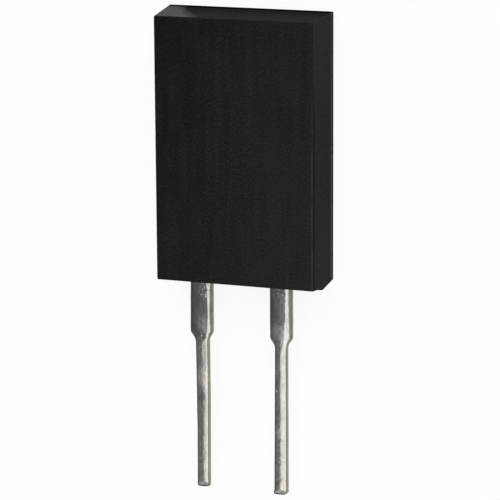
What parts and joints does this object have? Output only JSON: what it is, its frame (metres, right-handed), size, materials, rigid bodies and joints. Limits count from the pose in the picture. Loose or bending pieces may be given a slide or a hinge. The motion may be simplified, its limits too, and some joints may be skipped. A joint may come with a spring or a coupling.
{
  "type": "current sense resistor",
  "caption": "Flat black moulded resistor for sensing current, with a bare ceramic back that lies on a heatsink and flat stepped leads at one end.",
  "frame": {"origin": "on the mounting face, which is the bare back of the ceramic plate, under the middle of the moulded block's back", "axes": "+X to the right when the front is seen with the leads down, +Y up the block away from the leads, +Z out of the front face"},
  "size_m": [0.0104, 0.0294, 0.0032],
  "materials": {
    "epoxy": "satin",
    "alumina": "matte",
    "conductor_print": "satin",
    "resistor_print": "matte",
    "overglaze": "gloss",
    "tinned_lead": "satin",
    "solder": "satin"
  },
  "bodies": {
    "root": {"moulded_body": "epoxy", "ceramic_substrate": "alumina", "left_conductor": "conductor_print", "right_conductor": "conductor_print", "resistor_film": "resistor_print", "protective_glaze": "overglaze", "left_lead": "tinned_lead", "right_lead": "tinned_lead", "left_solder_joint": "solder", "right_solder_joint": "solder"}
  },
  "joints": []
}
